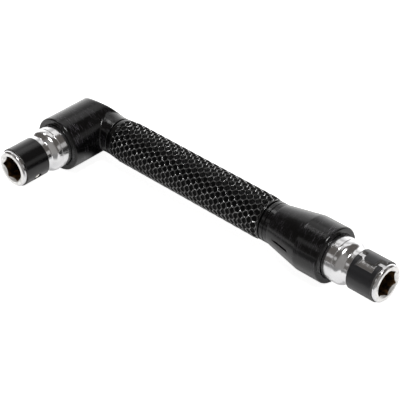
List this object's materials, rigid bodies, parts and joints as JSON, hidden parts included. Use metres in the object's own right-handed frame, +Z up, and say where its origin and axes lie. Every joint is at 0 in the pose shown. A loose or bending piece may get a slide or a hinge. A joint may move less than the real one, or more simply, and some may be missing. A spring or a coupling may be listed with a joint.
{
  "type": "offset screwdriver",
  "caption": "Offset screwdriver with a knurled handle, a hex bit holder in line with it and another across it in an elbow-shaped head.",
  "frame": {"origin": "middle of the tool's bounding box, on the surface that it lies on", "axes": "+X along the handle toward the in-line bit holder, -Y toward the mouth of the side bit holder, +Z up from the surface that the tool lies on"},
  "size_m": [0.112, 0.0384, 0.0155],
  "materials": {
    "black_body": "satin",
    "knurled_black": "satin",
    "chrome": "polished",
    "black_clip": "satin",
    "ball_steel": "polished",
    "magnet": "matte",
    "bare_steel": "satin"
  },
  "bodies": {
    "tool": {"elbow_head": "black_body", "knurled_grip": "knurled_black", "end_ferrule": "black_body", "core_rod": "bare_steel", "side_bit_holder": "chrome", "inline_bit_holder": "chrome", "side_retaining_clip": "black_clip", "inline_retaining_clip": "black_clip", "side_magnet": "magnet", "inline_magnet": "magnet", "side_holder_pin": "bare_steel", "inline_holder_pin": "bare_steel"},
    "side_ball": {"side_detent_ball": "ball_steel"},
    "inline_ball": {"inline_detent_ball": "ball_steel"}
  },
  "joints": [
    {"name": "side_ball_travel", "type": "slide", "parent": "tool", "child": "side_ball", "axis": [0.848, 0, -0.5299], "range_m": [0, 0.00035], "stiffness_N_per_m": 8000, "springref_m": -0.0002, "deforming": ["side_retaining_clip"]},
    {"name": "inline_ball_travel", "type": "slide", "parent": "tool", "child": "inline_ball", "axis": [0, 0.5592, -0.829], "range_m": [0, 0.00035], "stiffness_N_per_m": 8000, "springref_m": -0.0002, "deforming": ["inline_retaining_clip"]}
  ]
}
